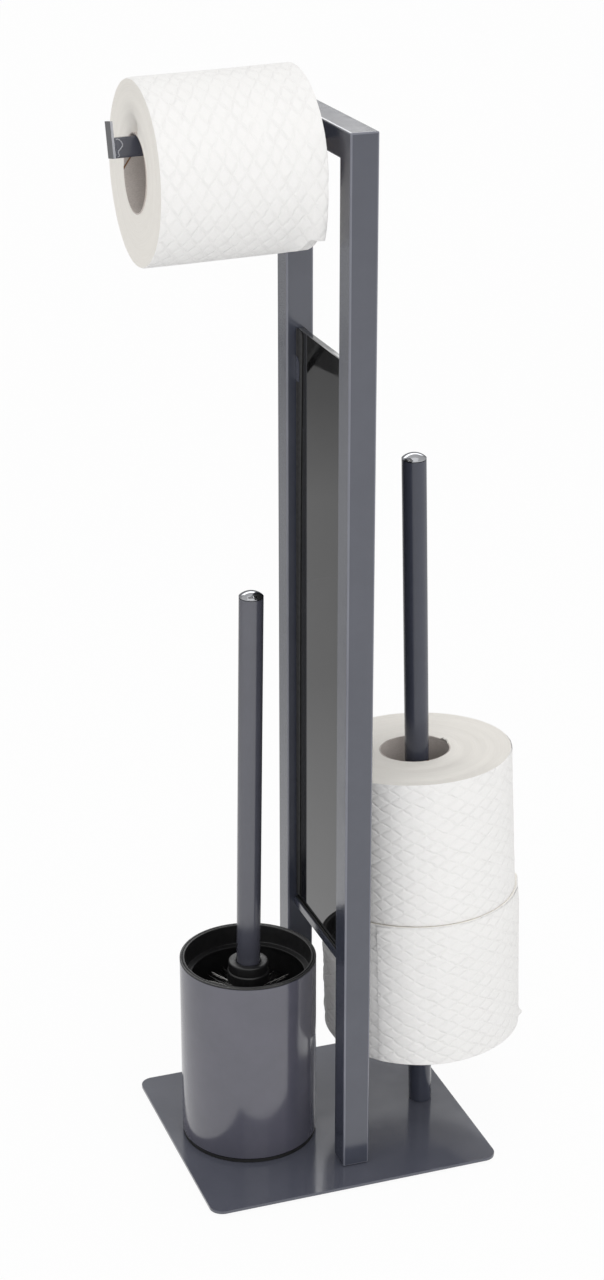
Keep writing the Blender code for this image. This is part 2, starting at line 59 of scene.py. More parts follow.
ARM_REACH = 0.1253
TOP_RADIUS = 0.0555
LOWER_RADIUS = 0.067
UPPER_RADIUS = 0.0653
CUP_RADIUS = 0.046
CUP_TALL = 0.1343
BRUSH_LEAN = 0.015184
HEAD_LOW = GAP + 0.010 * BRUSH_LEAN + 0.003 + GAP
TIER = 0.025 + GAP

# The tissue's quilting, in metres round the roll and along it
DIAMOND_ROUND = 0.015
DIAMOND_LONG = 0.0093


def moved(x, y, z):
    return Matrix.Translation((x, y, z))


def turned(degrees, axis):
    return Matrix.Rotation(math.radians(degrees), 4, axis)


def axes(at, lean):
    """The matrix of a frame at this point whose Z axis leans towards +X by this sine."""
    up = math.sqrt(1 - lean * lean)
    return moved(*at) @ Matrix(((up, 0, lean, 0), (0, 1, 0, 0), (-lean, 0, up, 0), (0, 0, 0, 1)))


POST = axes((0.0794, 0, PLATE_TOP), -POST_LEAN)
LOWER = axes((0.080505, 0.003, 0.068153), -POST_LEAN)
UPPER = axes((0.076791, 0.008, 0.16939), -POST_LEAN) @ moved(0, -0.0048, 0.001) @ turned(-2.9, "X")
CUP = axes((-0.0461, 0.0044, PLATE_TOP), 0)
BRUSH = axes((-0.0478, 0.004, 0.009), BRUSH_LEAN)
ARM = moved(-0.0025, 0, 0.6928) @ turned(-1.7, "Y") @ turned(-10, "X")
TOP = ARM @ moved(-0.112, 0, -0.015893) @ turned(90, "Y")


# ---------------- materials


def linear(shown):
    """Linear colour from the levels 0 to 255 that a surface shows."""
    out = []
    for level in shown:
        c = level / 255
        out.append(c / 12.92 if c <= 0.04045 else ((c + 0.055) / 1.055) ** 2.4)
    return (*out, 1.0)


class Graph:
    """A node tree, with helpers that add nodes and join them."""

    def __init__(self, tree):
        self.tree = tree

    def fill(self, socket, value):
        """Joins a socket to another node's output, or sets its plain value."""
        if isinstance(value, bpy.types.NodeSocket):
            self.tree.links.new(value, socket)
        else:
            socket.default_value = value

    def node(self, kind, inputs=None, **values):
        """Adds a node. Inputs is {a socket's name or number: an output or a plain value}."""
        made = self.tree.nodes.new("ShaderNode" + kind)
        for key, value in values.items():
            setattr(made, key, value)
        for key, value in (inputs or {}).items():
            self.fill(made.inputs[key], value)
        return made

    def math(self, operation, *values):
        return self.node("Math", dict(enumerate(values)), operation=operation).outputs[0]

    def split(self, vector):
        """The outputs X, Y and Z of a vector."""
        return self.node("SeparateXYZ", {0: vector}).outputs

    def ramp(self, source, low, high, a=0, b=1):
        """Maps source from low..high to a..b, clamped."""
        ends = {"Value": source, "From Min": low, "From Max": high, "To Min": a, "To Max": b}
        return self.node("MapRange", ends).outputs["Result"]

    def curve(self, source, *stops):
        """A grey that follows these (position, level) stops, for a source from 0 to 1."""
        made = self.node("ValToRGB", {"Fac": source})
        band = made.color_ramp
        while len(band.elements) < len(stops):
            band.elements.new(0.5)
        for element, (position, level) in zip(band.elements, stops):
            element.position = position
            element.color = (level, level, level, 1)
        return made.outputs["Color"]

    def place(self, axis, low, high):
        """The shaded point's place along an axis of the world, as 0 to 1 between low and high."""
        at = self.node("NewGeometry").outputs["Position"]
        return self.ramp(self.split(at)[axis], low, high)

    def rays(self, *kinds):
        """1 for rays of these kinds, else 0."""
        path = self.node("LightPath").outputs
        share = path[kinds[0]]
        for kind in kinds[1:]:
            share = self.math("MAXIMUM", share, path[kind])
        return share

    def blend(self, share, a, b):
        """Shader a where the share is 0, and b where it is 1."""
        return self.node("MixShader", {0: share, 1: a, 2: b}).outputs[0]

    def show(self, shader):
        """Gives the tree's output this shader."""
        output = next(n for n in self.tree.nodes if n.type.startswith("OUTPUT_"))
        self.tree.links.new(shader, output.inputs["Surface"])


class Look(Graph):
    """A node material: a Principled shader with helpers for its colour, roughness and bump."""

    def __init__(self, name, roughness=0.5, metallic=0.0, specular=0.5, ior=1.5):
        self.material = bpy.data.materials.new(name)
        self.material.use_nodes = True
        super().__init__(self.material.node_tree)
        self.shader = self.tree.nodes["Principled BSDF"]
        for socket, value in (("Metallic", metallic), ("Specular IOR Level", specular), ("IOR", ior)):
            self.put(socket, value)
        self.put("Roughness", roughness)
        where = self.node("TexCoord").outputs
        self.at, self.uv = where["Object"], where["UV"]

    def put(self, socket, value):
        self.fill(self.shader.inputs[socket], value)

    def scaled(self, source, scale):
        return self.node("Mapping", {"Vector": source, "Scale": scale}).outputs["Vector"]

    def noise(self, source, scale, detail=3.0, rough=0.5, distortion=0.0):
        inputs = {"Vector": source, "Scale": scale, "Detail": detail, "Roughness": rough}
        return self.node("TexNoise", {**inputs, "Distortion": distortion}).outputs["Fac"]

    def mix(self, share, a, b):
        """Colour a where the share is 0, and b where it is 1. Either may be a tuple of levels."""
        made = self.node("Mix", data_type="RGBA")
        inputs = {s.identifier: s for s in made.inputs}
        for key, value in (("A_Color", a), ("B_Color", b), ("Factor_Float", share)):
            self.fill(inputs[key], linear(value) if isinstance(value, tuple) else value)
        return {s.identifier: s for s in made.outputs}["Result_Color"]

    def tones(self, source, start, end, low, high):
        """Levels low up to the source's value start, going over to levels high at end."""
        return self.mix(self.ramp(source, start, end), low, high)

    def done(self, colour, rough, *bumps):
        """The material, with its colour, its roughness and its bumps linked.

        Each bump is (height, strength, distance in metres), and they are laid on each other.
        """
        self.put("Base Color", colour)
        self.put("Roughness", rough)
        normal = None
        for height, strength, distance in bumps:
            inputs = {"Height": height, "Strength": strength, "Distance": distance}
            if normal is not None:
                inputs["Normal"] = normal
            normal = self.node("Bump", inputs).outputs["Normal"]
        self.put("Normal", normal)
        return self.material


def make_paint(name, low, high, specular=0.9, dull=0.0):
    """Smooth anthracite stove enamel: a fine orange peel and a slightly uneven gloss."""
    look = Look(name, 0.17 + dull, specular=specular)
    at = look.at
    base = look.tones(look.noise(at, 38, 4, 0.55), 0.3, 0.7, low, high)
    fleck = look.ramp(look.noise(at, 2600, 2, 0.6), 0.62, 0.8, 0, 0.2)
    return look.done(
        look.mix(fleck, base, (98, 100, 110)),
        look.ramp(look.noise(at, 90), 0.3, 0.7, 0.13 + dull, 0.2 + dull),
        (look.noise(at, 900, 2, 0.4), 0.02, 0.0002),
        (look.noise(at, 110, 2), 0.015, 0.001),
    )


def make_grained(name, grain, start, end, low, high, rough, strength, distance, **kind):
    """A surface whose tone, roughness and bump all follow one stretched grain.

    The grain is (scale on each axis, scale, detail), and kind goes to the Look.
    """
    look = Look(name, rough[0], **kind)
    stretch, scale, detail = grain
    grain = look.noise(look.scaled(look.at, stretch), scale, detail, 0.6)
    colour = look.tones(grain, start, end, low, high)
    return look.done(colour, look.ramp(grain, 0.3, 0.7, *rough), (grain, strength, distance))


def make_streaked(name, low, high, specular):
    """A thin coat on the arm's end plate, with the metal's drawn streaks in it."""
    grain = ((900, 900, 16), 1, 3)
    rough = (0.24, 0.36)
    return make_grained(name, grain, 0.35, 0.65, low, high, rough, 0.08, 0.0002, specular=specular)


def make_plate_paint():
    """The same enamel on the flat plate, a little duller in places."""
    look = Look("plate_enamel", 0.14, specular=0.65)
    at = look.at
    return look.done(
        look.tones(look.noise(at, 24, 4, 0.55), 0.3, 0.7, (82, 84, 95), (88, 90, 101)),
        look.ramp(look.noise(at, 60, 3, 0.6), 0.3, 0.75, 0.1, 0.17),
        (look.noise(at, 900), 0.04, 0.0002),
        (look.noise(at, 70, 2), 0.03, 0.001),
    )


def make_chrome():
    """Bright chrome, slightly clouded, with a few duller specks."""
    look = Look("bright_chrome", 0.06, 1.0)
    look.put("Specular Tint", (0.4, 0.4, 0.41, 1))
    at = look.at
    return look.done(
        look.tones(look.noise(at, 240), 0.3, 0.7, (150, 151, 154), (162, 163, 166)),
        look.ramp(look.noise(at, 800, 2), 0.35, 0.75, 0.04, 0.13),
        (look.noise(at, 420, 2), 0.04, 0.0003),
    )


def make_steel():
    """Zinc plated steel of screws and plugs."""
    grain = ((1, 1, 4), 1500, 3)
    low, high = (148, 149, 152), (186, 187, 189)
    rough = (0.26, 0.44)
    return make_grained("zinc_steel", grain, 0.3, 0.7, low, high, rough, 0.15, 0.0001, metallic=1.0)


def make_glass():
    """Black glass with faint smears in its gloss."""
    look = Look("black_glass", 0.02, specular=0.42)
    smear = look.noise(look.scaled(look.at, (1, 14, 5)), 3, 5, 0.6, 0.8)
    colour = look.tones(smear, 0.35, 0.7, (17, 17, 18), (25, 25, 26))
    rough = look.ramp(smear, 0.4, 0.75, 0.012, 0.05)
    return look.done(colour, rough, (look.noise(look.at, 9, 2), 0.03, 0.0008))


def make_glass_edge():
    """The polished edge of the glass: dark in itself, and bright where it mirrors the room."""
    grain = ((1, 60, 60), 20, 4)
    low, high = (26, 27, 28), (36, 37, 38)
    rough = (0.06, 0.14)
    name = "polished_glass_edge"
    return make_grained(name, grain, 0.3, 0.7, low, high, rough, 0.05, 0.0002, ior=3.0)


def make_black(name, tone, low, high, grain_scale, grain_strength):
    """Black plastic or rubber with a fine moulded grain. Low and high are its roughness."""
    look = Look(name, (low + high) / 2)
    at = look.at
    darker = tuple(level * 0.82 for level in tone)
    return look.done(
        look.tones(look.noise(at, 60), 0.3, 0.7, darker, tone),
        look.ramp(look.noise(at, 300), 0.3, 0.7, low, high),
        (look.noise(at, grain_scale, 3, 0.6), grain_strength, 0.0002),
    )


def make_bristle():
    """Black nylon bristles, a few strands near white as a painted highlight. The UV's first value is
    the strand's own number.
    """
    look = Look("black_bristles", 0.4, specular=0.6)
    strand = look.split(look.uv)["X"]
    base = look.tones(strand, 0.3, 0.9, (20, 20, 21), (52, 51, 51))
    return look.done(
        # Strands past 0.8 are near white: a painted highlight for the glints on the strands.
        look.mix(look.ramp(strand, 0.8, 0.82), base, (236, 234, 231)),
        look.ramp(look.noise(look.at, 700, 1), 0.3, 0.7, 0.3, 0.5),
        (look.noise(look.at, 2400, 2), 0.1, 0.0001),
    )


def make_foam():
    """Fine-celled anti-slip foam under the plate."""
    look = Look("anti_slip_foam", 0.9, specular=0.2)
    cell = look.node("TexVoronoi", {"Vector": look.at, "Scale": 900}).outputs["Distance"]
    colour = look.tones(cell, 0.1, 0.7, (26, 26, 28), (48, 48, 51))
    return look.done(colour, look.ramp(cell, 0.1, 0.7, 0.95, 0.8), (cell, 0.5, 0.0004))


def make_card():
    """Grey-brown card of the cores, wound from a strip: its seam runs round as a thin helix.

    The core's UV is (turns round the axis, height over the strip's width).
    """
    look = Look("grey_card", 0.9, specular=0.2)
    fibre = look.noise(look.scaled(look.at, (1, 1, 3)), 900, 4, 0.65)
    base = look.tones(fibre, 0.3, 0.7, (196, 188, 182), (222, 214, 208))
    blotch = look.ramp(look.noise(look.at, 120), 0.45, 0.75, 0, 0.35)
    base = look.mix(blotch, base, (184, 175, 168))
    strip = look.split(look.uv)
    turn = look.math("ADD", look.math("SUBTRACT", strip["X"], strip["Y"]), 0.23)
    near = look.math("ABSOLUTE", look.math("SUBTRACT", look.math("FRACT", turn), 0.5))
    seam = look.ramp(near, 0.004, 0.009, 1, 0)
    return look.done(
        look.mix(seam, base, (128, 92, 62)),
        look.ramp(fibre, 0.3, 0.7, 0.95, 0.8),
        (fibre, 0.3, 0.0002),
        (look.math("SUBTRACT", 1.0, seam), 0.6, 0.0003),
    )


def make_tissue():
    """White tissue with faint quilted diamonds, their grooves a little darker as painted shade. UV
    counts diamonds round the roll and along it.
    """
    look = Look("quilted_tissue", 0.95, specular=0.12)
    uv = look.uv
    wobble = look.ramp(look.noise(look.scaled(uv, (1.3, 1.3, 1)), 1), 0.2, 0.8, -0.1, 0.1)
    place = look.split(uv)
    u = look.math("ADD", place["X"], wobble)
    v = look.math("ADD", place["Y"], wobble)
    waves = []
    for operation in ("ADD", "SUBTRACT"):
        turn = look.math("MULTIPLY", look.math(operation, u, v), math.pi)
        waves.append(look.math("ABSOLUTE", look.math("SINE", turn)))
    valley = look.math("MINIMUM", *waves)
    pressed = look.noise(look.scaled(uv, (0.8, 0.8, 1)), 1, 4, 0.6)
    pressed = look.ramp(pressed, 0.32, 0.62, 0.3, 1)
    groove = look.math("MULTIPLY", look.ramp(valley, 0, 0.55, 1, 0), pressed)
    crepe = look.noise(look.scaled(uv, (70, 12, 1)), 1, 4, 0.65)
    crumple = look.noise(look.scaled(uv, (2.3, 1.6, 1)), 1, 3, 0.55, 0.6)
    base = look.tones(crepe, 0.3, 0.7, (240, 239, 237), (246, 245, 244))
    return look.done(
        # The grooves darken the colour a little: painted shade in the quilting.
        look.mix(look.math("MULTIPLY", groove, 0.04), base, (224, 222, 218)),
        look.ramp(crepe, 0.3, 0.7, 0.98, 0.88),
        (look.math("SUBTRACT", 1.0, groove), 0.5, 0.001),
        (crumple, 0.22, 0.0011),
        (crepe, 0.1, 0.0003),
        (look.noise(look.at, 2200, 3, 0.7), 0.14, 0.0002),
    )


def make_tissue_end():
    """The wound layers at a roll's end. UV is (turns round the axis, radius in millimetres)."""
    look = Look("tissue_layers", 0.97, specular=0.1)
    layers = look.noise(look.scaled(look.uv, (2.2, 1.15, 1)), 1, 3, 0.7)
    fine = look.noise(look.scaled(look.uv, (9, 4.5, 1)), 1, 3, 0.7)
    base = look.tones(layers, 0.3, 0.7, (247, 243, 236), (252, 249, 243))
    return look.done(
        look.mix(look.ramp(fine, 0.5, 0.8, 0, 0.22), base, (222, 218, 210)),
        look.ramp(fine, 0.3, 0.7, 0.98, 0.9),
        (layers, 0.2, 0.0007),
        (fine, 0.25, 0.0004),
        (look.noise(look.at, 1800, 3, 0.7), 0.2, 0.0002),
    )


PAINT = make_paint("anthracite_enamel", (62, 65, 77), (67, 70, 82))
POST_PAINT = make_paint("post_enamel", (58, 61, 73), (63, 66, 78), 0.55, 0.05)
HANDLE_PAINT = make_paint("handle_enamel", (72, 73, 83), (77, 78, 88), 0.9, 0.03)
# Lighter enamel for the frame's rounded corners: a painted highlight along each corner.
CORNER_HIGHLIGHT_PAINT = make_paint("painted_corner_highlight", (104, 106, 117), (112, 114, 125))
CUP_PAINT = make_paint("cup_enamel", (80, 80, 91), (86, 85, 97))
PLATE_PAINT = make_plate_paint()
END_PAINT = make_streaked("end_plate_enamel", (58, 59, 64), (70, 71, 76), 0.3)
# A pale copy of the end plate's enamel: a painted highlight on the plate's front face and a painted
# glint on the weld spatter.
HIGHLIGHT_PAINT = make_streaked("painted_highlight_enamel", (146, 148, 155), (176, 178, 184), 0.6)
CHROME = make_chrome()
STEEL = make_steel()
GLASS = make_glass()
GLASS_EDGE = make_glass_edge()
PLASTIC = make_black("black_plastic", (28, 28, 29), 0.36, 0.52, 1400, 0.12)
RUBBER = make_black("black_rubber", (30, 30, 31), 0.45, 0.65, 1800, 0.2)
FOOT = make_black("black_foot", (17, 17, 18), 0.5, 0.7, 1600, 0.2)
BRISTLE = make_bristle()
FOAM = make_foam()
CARD = make_card()
TISSUE = make_tissue()
TISSUE_END = make_tissue_end()


# ---------------- mesh helpers


def placed(name, data):
    """Puts an object in the scene."""
    made = bpy.data.objects.new(name, data)
    bpy.context.scene.collection.objects.link(made)
    return made


def add_object(name, mesh, body, slot, *looks, stands_for=(), sharp=35, matrix=None):
    """Puts a mesh in the scene as one piece that rides on a body."""
    if matrix is not None:
        mesh.transform(matrix)
    mesh.shade_smooth()
    mesh.set_sharp_from_angle(angle=math.radians(sharp))
    made = placed(name, mesh)
    for look in looks:
        mesh.materials.append(look)
    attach(made, body)
    if stands_for:
        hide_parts(*stands_for)
    return made


def outwards(shape):
    bmesh.ops.recalc_face_normals(shape, faces=shape.faces)


def welded(shape):
    bmesh.ops.remove_doubles(shape, verts=shape.verts, dist=0.000002)
    bmesh.ops.dissolve_degenerate(shape, dist=0.0000005, edges=shape.edges)


def mesh_from(name, points, faces, uvs=None, slots=None, change=outwards):
    """A mesh with, where they are given, a UV for each face corner and a slot for each face.

    The change is a function of the mesh's bmesh.
    """
    mesh = bpy.data.meshes.new(name)
    mesh.from_pydata(points, [], faces)
    if uvs is not None:
        layer = mesh.uv_layers.new(name="UVMap")
        layer.data.foreach_set("uv", np.array(uvs, np.float32).ravel())
    if slots is not None:
        mesh.polygons.foreach_set("material_index", np.array(slots, np.int32))
    if change is not None:
        shape = bmesh.new()
        shape.from_mesh(mesh)
        change(shape)
        shape.to_mesh(mesh)
        shape.free()
    return mesh


def joined(rings, count, start=0):
    """Quads from each ring of count points to the next one."""
    faces = []
    for ring in range(rings - 1):
        a = start + ring * count
        for index in range(count):
            after = (index + 1) % count
            faces.append([a + index, a + after, a + count + after, a + count + index])
    return faces


def capped(rings, count):
    """The faces of a row of rings, closed by a flat face at each end."""
    last = (rings - 1) * count
    return [list(range(count)), list(range(last, last + count))] + joined(rings, count)


def circle(centre, side, over, radius, count):
    """Points round a centre, in the plane of two unit vectors."""
    turns = [2 * math.pi * step / count for step in range(count)]
    return [centre + side * (radius * math.cos(a)) + over * (radius * math.sin(a)) for a in turns]


def lathe(name, profile, steps, change=None):
    """Turns a closed outline of (radius, height) about Z. A radius of 0 is a pole."""
    points = []
    rings = []
    for radius, height in profile:
        if radius == 0:
            rings.append([len(points)] * steps)
            points.append((0, 0, height))
            continue
        rings.append(list(range(len(points), len(points) + steps)))
        for step in range(steps):
            angle = 2 * math.pi * step / steps
            z = change(angle, radius, height) if change else height
            points.append((radius * math.cos(angle), radius * math.sin(angle), z))
    faces = []
    for ring, following in zip(rings, rings[1:] + rings[:1]):
        for step in range(steps):
            beside = (step + 1) % steps
            corners = [ring[step], ring[beside], following[beside], following[step]]
            face = list(dict.fromkeys(corners))
            if len(face) > 2:
                faces.append(face)
    return mesh_from(name, points, faces)


def add_turned(name, profile, steps, body, slot, look, *stands_for, matrix, sharp=35, change=None):
    """Puts a turned piece in the scene. Change gives the height for (angle, radius, height)."""
    mesh = lathe(name, profile, steps, change)
    add_object(name, mesh, body, slot, look, stands_for=stands_for, matrix=matrix, sharp=sharp)


def rounded(point, before, after, radius, steps=4):
    """Rounds the corner of an outline between two neighbours, as a list of points."""
    p, a, b = Vector(point), Vector(before), Vector(after)
    da, db = (a - p).normalized(), (b - p).normalized()
    half = math.acos(max(-1, min(1, da.dot(db)))) / 2
    reach = min(radius / math.tan(half), (a - p).length * 0.49, (b - p).length * 0.49)
    start, end = p + da * reach, p + db * reach
    out = []
    for step in range(steps + 1):
        t = step / steps
        out.append(tuple(start * (1 - t) ** 2 + p * 2 * t * (1 - t) + end * t * t))
    return out


def softened(profile, radii):
    """A closed outline with some corners rounded: radii is {index: radius}."""
    out = []
    count = len(profile)
    for index, point in enumerate(profile):
        if index in radii:
            out += rounded(point, profile[index - 1], profile[(index + 1) % count], radii[index])
        else:
            out.append(point)
    return out


def baked(made):
    """Applies a piece's modifiers to its mesh."""
    graph = bpy.context.evaluated_depsgraph_get()
    mesh = bpy.data.meshes.new_from_object(made.evaluated_get(graph))
    made.modifiers.clear()
    made.data = mesh


def soften(made, width, segments=2, angle=50, material=-1):
    """Gives an object's edges a small radius."""
    modifier = made.modifiers.new("edge", "BEVEL")
    modifier.width = width
    modifier.segments = segments
    modifier.limit_method = "ANGLE"
    modifier.angle_limit = math.radians(angle)
    modifier.harden_normals = True
    modifier.material = material


def wear(name, look):
    """Gives a carried-over solid its material."""
    mesh = nodes[name].data
    mesh.materials.clear()
    mesh.materials.append(look)


# ---------------- frame, glass and arm


def make_frame():
    """The uprights and the top rail as one welded and enamelled frame, with no open joint."""
    low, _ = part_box("front_upright")
    _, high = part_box("top_rail")
    outer, foot, top = high.y, low.z, high.z
    inner = outer - TUBE
    outline = [(-outer, foot), (-inner, foot), (-inner, top - TUBE), (inner, top - TUBE)]
    outline += [(inner, foot), (outer, foot), (outer, top), (-outer, top)]
    points = [(FRAME_X + side * TUBE / 2, y, z) for side in (-1, 1) for y, z in outline]
    mesh = mesh_from("frame_tube", points, capped(2, len(outline)))
    solids = ("front_upright", "rear_upright", "top_rail")
    made = add_object("frame_tube", mesh, "stand", "paint", PAINT, CORNER_HIGHLIGHT_PAINT, stands_for=solids)
    # The rounded corners wear the lighter enamel, a painted highlight.
    soften(made, TUBE_ROUND, segments=4, angle=40, material=1)
    baked(made)


def make_glass_sheet():
    """The panel: a sheet with rounded upper corners and a ground edge all round."""
    low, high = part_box("glass_panel")
    bevel = 0.0005
    corner_round = 0.003
    loops = ((low.x, bevel), (low.x + bevel, 0), (high.x - bevel, 0), (high.x, bevel))
    points = []
    for x, inset in loops:
        y0, y1 = low.y + inset, high.y - inset
        z0, z1 = low.z + inset, high.z - inset
        r = corner_round - inset
        points += [(x, y0, z0), (x, y1, z0)]
        for middle_y, start in ((y1 - r, 0), (y0 + r, 90)):
            for step in range(7):
                angle = math.radians(start + 90 * step / 6)
                points.append((x, middle_y + r * math.cos(angle), z1 - r + r * math.sin(angle)))
    mesh = mesh_from("glass_sheet", points, capped(len(loops), len(points) // len(loops)))
    solids = ("glass_panel",)
    made = add_object("glass_sheet", mesh, "stand", "glass", GLASS, GLASS_EDGE, stands_for=solids)
    for face in made.data.polygons:
        face.material_index = 0 if len(face.vertices) > 4 else 1


def make_glass_shade_strips():
    """Thin black strips along both uprights at the glass, broader at the top: painted reflection and
    painted shade, standing in for the uprights' dark mirror image in the glass and the shaded gap
    beside it.
    """
    low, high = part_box("glass_panel")
    thick = 0.0007
    ridge = 0.00035
    off_glass = 0.00012
    top = high.z - 0.0006
    # Each level is (height, the strip's reach over the glass, its share of the full thickness)
    levels = [(low.z + 0.006, 0.0058, 1.0), (top - 0.2, 0.0064, 1.0), (top - 0.11, 0.0074, 1.0)]
    levels += [(top - 0.045, 0.0095, 1.0), (top - 0.003, 0.0108, 1.0)]
    levels += [(top - 0.001, 0.0100, 0.9), (top, 0.0078, 0.7)]
    for name, end, edge in (("front", -1, low.y), ("rear", 1, high.y)):
        for side_name, x, out in (("left", low.x, -1), ("right", high.x, 1)):
            points = []
            for z, reach, share in levels:
                shape = [(0, 0), (0, thick), (0.0008, thick), (0.0011, thick + ridge)]
                shape += [(0.0017, thick + ridge), (0.0020, thick), (reach - 0.0005, thick)]
                shape += [(reach, thick * 0.4), (reach, 0)]
                for u, v in shape:
                    points.append((x + out * (off_glass + v * share), edge - end * u, z))
            mesh = mesh_from("glass_shade_strip", points, capped(len(levels), len(shape)))
            piece = f"glass_shade_strip_{name}_{side_name}"
            add_object(piece, mesh, "stand", "rubber", RUBBER, sharp=25)


def weld_bead(name, start, end, radius, seed):
    """A small weld bead under the enamel, laid from start to end, slightly uneven."""
    rng = random.Random(seed)
    along = (end - start).normalized()
    side = along.cross(Vector((0, 1, 0))).normalized()
    over = along.cross(side)
    rings, around = 22, 10
    points = []
    phase = rng.random() * 6
    for ring in range(rings + 1):
        t = ring / rings
        taper = math.sin(math.pi * t**0.8) ** 0.5 if 0 < t < 1 else 0.05
        r = radius * (0.35 + 0.65 * taper)
        r *= 1 + 0.22 * math.sin(t * 23 + phase) + 0.1 * (rng.random() - 0.5)
        centre = start.lerp(end, t) + side * (radius * 0.35 * math.sin(t * 11 + phase))
        points += [tuple(p) for p in circle(centre, side, over, r, around)]
    mesh = mesh_from(name, points, capped(rings + 1, around))
    add_object(name, mesh, "stand", "paint", PAINT, sharp=80)


def spatter(name, path, radius):
    """A run of enamelled spatter that curls along a smooth path on the arm's front, in pale enamel as a
    painted glint.
    """
    spots = [Vector(spot) for spot in path]
    spots = [spots[0], *spots, spots[-1]]
    stations = []
    for before, p, q, after in zip(spots, spots[1:], spots[2:], spots[3:]):
        for step in range(6):
            t = step / 6
            bend = (2 * before - 5 * p + 4 * q - after) * t * t
            twist = (3 * p - before - 3 * q + after) * t**3
            stations.append(0.5 * (2 * p + (q - before) * t + bend + twist))
    stations.append(spots[-1])
    out = Vector((0, -1, 0))
    last = len(stations) - 1
    around = 8
    points = []
    for index, centre in enumerate(stations):
        ahead = stations[min(index + 1, last)] - stations[max(index - 1, 0)]
        side = ahead.normalized().cross(out)
        r = radius * (0.55 + 0.45 * math.sin(math.pi * index / last))
        r *= 1 + 0.25 * math.sin(index * 1.7)
        points += [tuple(ARM @ p) for p in circle(centre, side, out, r, around)]
    mesh = mesh_from(name, points, capped(len(stations), around))
    add_object(name, mesh, "stand", "paint", HIGHLIGHT_PAINT, sharp=80)


def make_welds():
    """Beads where the end plate and the frame meet the arm, on the arm's front and back."""
    half = ARM_SIDE / 2
    reach = ARM_REACH - 0.0015
    for side_name, y in (("front", -half), ("rear", half)):
        a = ARM @ Vector((-reach + 0.0006, y, -half * 0.8))
        b = ARM @ Vector((-reach + 0.0006, y, half * 0.85))
        weld_bead("end_plate_weld_" + side_name, a, b, 0.0005, 3 + y)
        a = ARM @ Vector((-0.0006, y, -half * 0.9))
        b = ARM @ Vector((-0.0006, y, half * 0.9))
        weld_bead("arm_root_weld_" + side_name, a, b, 0.0008, 7 + y)
    path = [(0.0008, 0.0046), (0.0022, 0.0050), (0.0040, 0.0034), (0.0046, 0.0012)]
    path += [(0.0030, -0.0008), (0.0016, -0.0022), (0.0022, -0.0044), (0.0010, -0.0052)]
    spatter("end_plate_spatter", [(-reach + u, -half - 0.0001, v) for u, v in path], 0.00034)


# ---------------- post, cup and brush


def make_tube(name, matrix, low, high, body, node, look):
    """A thin round tube."""
    outer = POST_ACROSS / 2
    inner = outer - POST_WALL
    profile = [(outer, low), (outer, high), (inner, high), (inner, low)]
    profile = softened(profile, {0: 0.0002, 1: 0.0003})
    add_turned(name, profile, 72, body, "paint", look, node, matrix=matrix)


def make_cap(name, matrix, at, body, node):
    """A bright domed cap with its thin rim."""
    radius = POST_ACROSS / 2
    spigot = radius - POST_WALL - GAP
    depth = 0.008
    band_low, band_high = GAP, 0.0011
    rise = 0.0032
    ball = (radius**2 + rise**2) / (2 * rise)
    sweep = math.asin(radius / ball)
    profile = [(0, -depth), (spigot, -depth), (spigot, band_low), (radius - 0.0002, band_low)]
    profile += [(radius, band_low + 0.0002), (radius, band_high - 0.0001)]
    steps = 14
    for step in range(steps):
        angle = sweep * (1 - step / steps)
        r = ball * math.sin(angle) - (0.00012 if step == 0 else 0)
        profile.append((r, band_high + rise - ball * (1 - math.cos(angle))))
    profile.append((0, band_high + rise))
    matrix = matrix @ moved(0, 0, at)
    add_turned(name, profile, 72, body, "chrome", CHROME, node, matrix=matrix, sharp=40)


def make_cup():
    """The enamelled shell and the black liner, whose rim laps over the shell."""
    radius = CUP_RADIUS
    wall = 0.0008
    low = 0.0029
    lip_low = CUP_TALL - 0.0009
    shell = [(0, low), (radius, low), (radius, lip_low - GAP), (radius - wall, lip_low - GAP)]
    shell += [(radius - wall, low + wall), (0, low + wall)]
    shell = softened(shell, {1: 0.0009, 2: 0.0002})
    add_turned("cup_shell_enamel", shell, 144, "cup", "paint", CUP_PAINT, "cup_shell", matrix=CUP)

    mouth, body, base = 0.0427, 0.0413, 0.0385
    thick = 0.0012
    ledge = CUP_TALL - 0.0137
    liner_low = low + wall + GAP
    middle = (radius + mouth) / 2
    liner = [(0, liner_low), (base + thick, liner_low), (body + thick, ledge - thick)]
    liner += [(mouth + thick, ledge), (mouth + thick, lip_low), (radius, lip_low)]
    liner += [(radius, CUP_TALL), (middle + 0.0006, CUP_TALL), (middle, CUP_TALL - 0.0005)]
    liner += [(middle - 0.0005, CUP_TALL + 0.0001), (mouth, CUP_TALL - 0.0002), (mouth, ledge)]
    liner += [(body - 0.0030, ledge), (body - 0.0030, ledge - 0.0012), (body, ledge - 0.0024)]
    liner += [(base, liner_low + thick), (0, liner_low + thick)]
    radii = {5: 0.0003, 6: 0.0005, 7: 0.0002, 9: 0.0003, 10: 0.0006, 11: 0.0008, 12: 0.0004}
    liner = softened(liner, radii)
    ledge_low = ledge - 0.003
    ledge_high = ledge + 0.0009

    def notch(angle, r, z):
        """The ledge steps down by a little to the right of the handle, and rises round again."""
        if ledge_low < z < ledge_high and body - 0.004 < r < mouth + 0.0001:
            turn = (angle - math.radians(62)) % (2 * math.pi)
            z += 0.0011 * (turn / (2 * math.pi)) - 0.0006
        return z

    name, extra = "cup_liner_plastic", {"sharp": 48, "change": notch}
    add_turned(name, liner, 144, "cup", "black", PLASTIC, "cup_liner", matrix=CUP, **extra)


